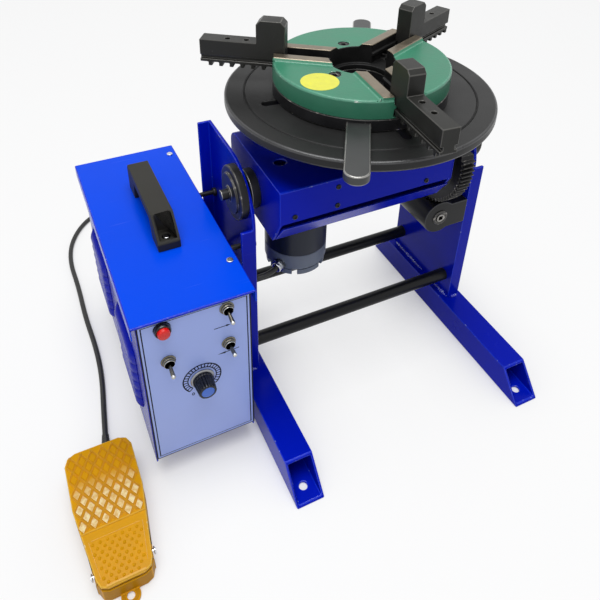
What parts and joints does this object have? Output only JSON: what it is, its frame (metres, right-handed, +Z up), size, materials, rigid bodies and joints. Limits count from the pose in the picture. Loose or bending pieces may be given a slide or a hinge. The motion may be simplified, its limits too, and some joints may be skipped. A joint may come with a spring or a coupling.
{
  "type": "welding positioner",
  "caption": "Bench welding positioner: tilting motor-driven turntable with three-jaw scroll chuck on a two-plate stand, side control box and foot pedal.",
  "frame": {"origin": "on the floor, at the centre of the rectangle of the four foot anchor holes", "axes": "+Z up, +X along the tilt axis from the control box towards the worm, -Y towards the operator"},
  "size_m": [0.5873, 0.6708, 0.478],
  "materials": {
    "blue": "gloss enamel",
    "black_paint": "satin enamel",
    "bare_steel": "turned",
    "zinc_hardware": "bright zinc",
    "blackened_steel": "black oxide",
    "green_enamel": "satin enamel over casting",
    "motor_black": "satin",
    "motor_grey": "semi-gloss",
    "pale_panel": "printed film on sheet",
    "handle_black": "moulded grain",
    "button_red": "moulded",
    "bezel_black": "moulded",
    "lever_chrome": "plated",
    "knob_blue": "moulded",
    "board_green": "solder mask",
    "supply_metal": "perforated sheet",
    "cable_black": "extruded sheath",
    "pedal_yellow": "satin enamel over die casting"
  },
  "bodies": {
    "stand": {"left_foot": "blue", "right_foot": "blue", "left_side_plate": "blue", "right_side_plate": "blue", "front_tie_tube": "black_paint", "rear_tie_tube": "black_paint", "left_bearing_flange": "black_paint", "right_bearing_flange": "black_paint", "worm_housing": "black_paint", "control_box_shell": "blue", "control_box_lid": "blue", "front_panel": "pale_panel", "carry_handle": "handle_black", "box_screws": "zinc_hardware", "box_hangers": "zinc_hardware", "box_spacers": "zinc_hardware", "button_bezel": "bezel_black", "toggle_bases": "zinc_hardware", "speed_control": "handle_black", "control_board": "board_green", "power_supply": "supply_metal", "cable_glands": "zinc_hardware", "mains_inlet": "handle_black", "motor_cable": "cable_black", "pedal_base": "pedal_yellow", "pedal_pin": "bare_steel", "pedal_switch": "handle_black", "pedal_spring": "bare_steel", "pedal_cable": "cable_black", "pedal_cable_coil": "cable_black"},
    "tilt_head": {"tilt_housing": "blue", "housing_tray": "blue", "spindle_block": "black_paint", "spindle_bearings": "bare_steel", "left_trunnion": "black_paint", "trunnion_rings": "bare_steel", "tilt_sector": "black_paint", "gearmotor": "motor_black", "motor_end_cap": "motor_grey", "motor_gland": "zinc_hardware", "housing_screws": "zinc_hardware"},
    "pinion": {"drive_pinion": "bare_steel"},
    "table": {"turntable": "black_paint", "table_spindle": "bare_steel", "spindle_gear": "bare_steel", "chuck_adapter": "bare_steel", "chuck_body": "green_enamel", "chuck_screws": "zinc_hardware"},
    "scroll": {"scroll_ring": "black_paint", "scroll_handles": "bare_steel"},
    "jaw_a": {"jaw_1": "blackened_steel"},
    "jaw_b": {"jaw_2": "blackened_steel"},
    "jaw_c": {"jaw_3": "blackened_steel"},
    "worm": {"worm_shaft": "bare_steel"},
    "pedal": {"pedal_plate": "pedal_yellow"},
    "button": {"power_button": "button_red"},
    "toggle_a": {"toggle_lever_1": "lever_chrome"},
    "toggle_b": {"toggle_lever_2": "lever_chrome"},
    "toggle_c": {"toggle_lever_3": "lever_chrome"},
    "knob": {"speed_knob": "knob_blue"}
  },
  "joints": [
    {"name": "tilt", "type": "hinge", "parent": "stand", "child": "tilt_head", "pos_m": [0, 0.033, 0.302], "axis": [1, 0, 0], "range_deg": [0, 90], "deforming": ["motor_cable"]},
    {"name": "worm_turn", "type": "hinge", "parent": "stand", "child": "worm", "pos_m": [0.11, 0.033, 0.207], "axis": [0, -1, 0], "range_deg": [0, 6840]},
    {"name": "table_spin", "type": "hinge", "parent": "tilt_head", "child": "table", "pos_m": [-0.006, 0.033, 0.396], "axis": [0, 0, 1], "continuous": true},
    {"name": "pinion_spin", "type": "hinge", "parent": "tilt_head", "child": "pinion", "pos_m": [-0.084, 0.033, 0.28], "axis": [0, 0, 1], "continuous": true},
    {"name": "scroll_turn", "type": "hinge", "parent": "table", "child": "scroll", "pos_m": [-0.006, 0.033, 0.41], "axis": [0, 0, 1], "range_deg": [-285, 1665]},
    {"name": "jaw_a_slide", "type": "slide", "parent": "table", "child": "jaw_a", "axis": [0.9063, 0.4226, 0], "range_m": [-0.058, 0.01]},
    {"name": "jaw_b_slide", "type": "slide", "parent": "table", "child": "jaw_b", "axis": [-0.8192, 0.5736, 0], "range_m": [-0.058, 0.01]},
    {"name": "jaw_c_slide", "type": "slide", "parent": "table", "child": "jaw_c", "axis": [-0.0872, -0.9962, 0], "range_m": [-0.058, 0.01]},
    {"name": "pedal_press", "type": "hinge", "parent": "stand", "child": "pedal", "pos_m": [-0.3693, -0.164, 0.0205], "axis": [-1, 0, 0], "range_deg": [0, 4.5], "stiffness_Nm_per_rad": 25, "springref_deg": -2.86, "deforming": ["pedal_spring"]},
    {"name": "button_press", "type": "slide", "parent": "stand", "child": "button", "axis": [0, 1, 0], "range_m": [0, 0.0025], "stiffness_N_per_m": 800, "springref_m": -0.001},
    {"name": "toggle_a_throw", "type": "hinge", "parent": "stand", "child": "toggle_a", "pos_m": [-0.215, -0.076, 0.2415], "axis": [-1, 0, 0], "range_deg": [0, 26]},
    {"name": "toggle_b_throw", "type": "hinge", "parent": "stand", "child": "toggle_b", "pos_m": [-0.215, -0.076, 0.1895], "axis": [-1, 0, 0], "range_deg": [-13, 13]},
    {"name": "toggle_c_throw", "type": "hinge", "parent": "stand", "child": "toggle_c", "pos_m": [-0.2815, -0.076, 0.1925], "axis": [-1, 0, 0], "range_deg": [0, 26]},
    {"name": "knob_turn", "type": "hinge", "parent": "stand", "child": "knob", "pos_m": [-0.2475, -0.08, 0.1475], "axis": [0, -1, 0], "range_deg": [-60, 240]}
  ],
  "couplings": [
    {"joint": "worm_turn", "follows": "tilt", "ratio": 76},
    {"joint": "pinion_spin", "follows": "table_spin", "ratio": -3.3333},
    {"joint": "jaw_a_slide", "follows": "scroll_turn", "m_per_rad": -0.0019894},
    {"joint": "jaw_b_slide", "follows": "scroll_turn", "m_per_rad": -0.0019894},
    {"joint": "jaw_c_slide", "follows": "scroll_turn", "m_per_rad": -0.0019894}
  ]
}
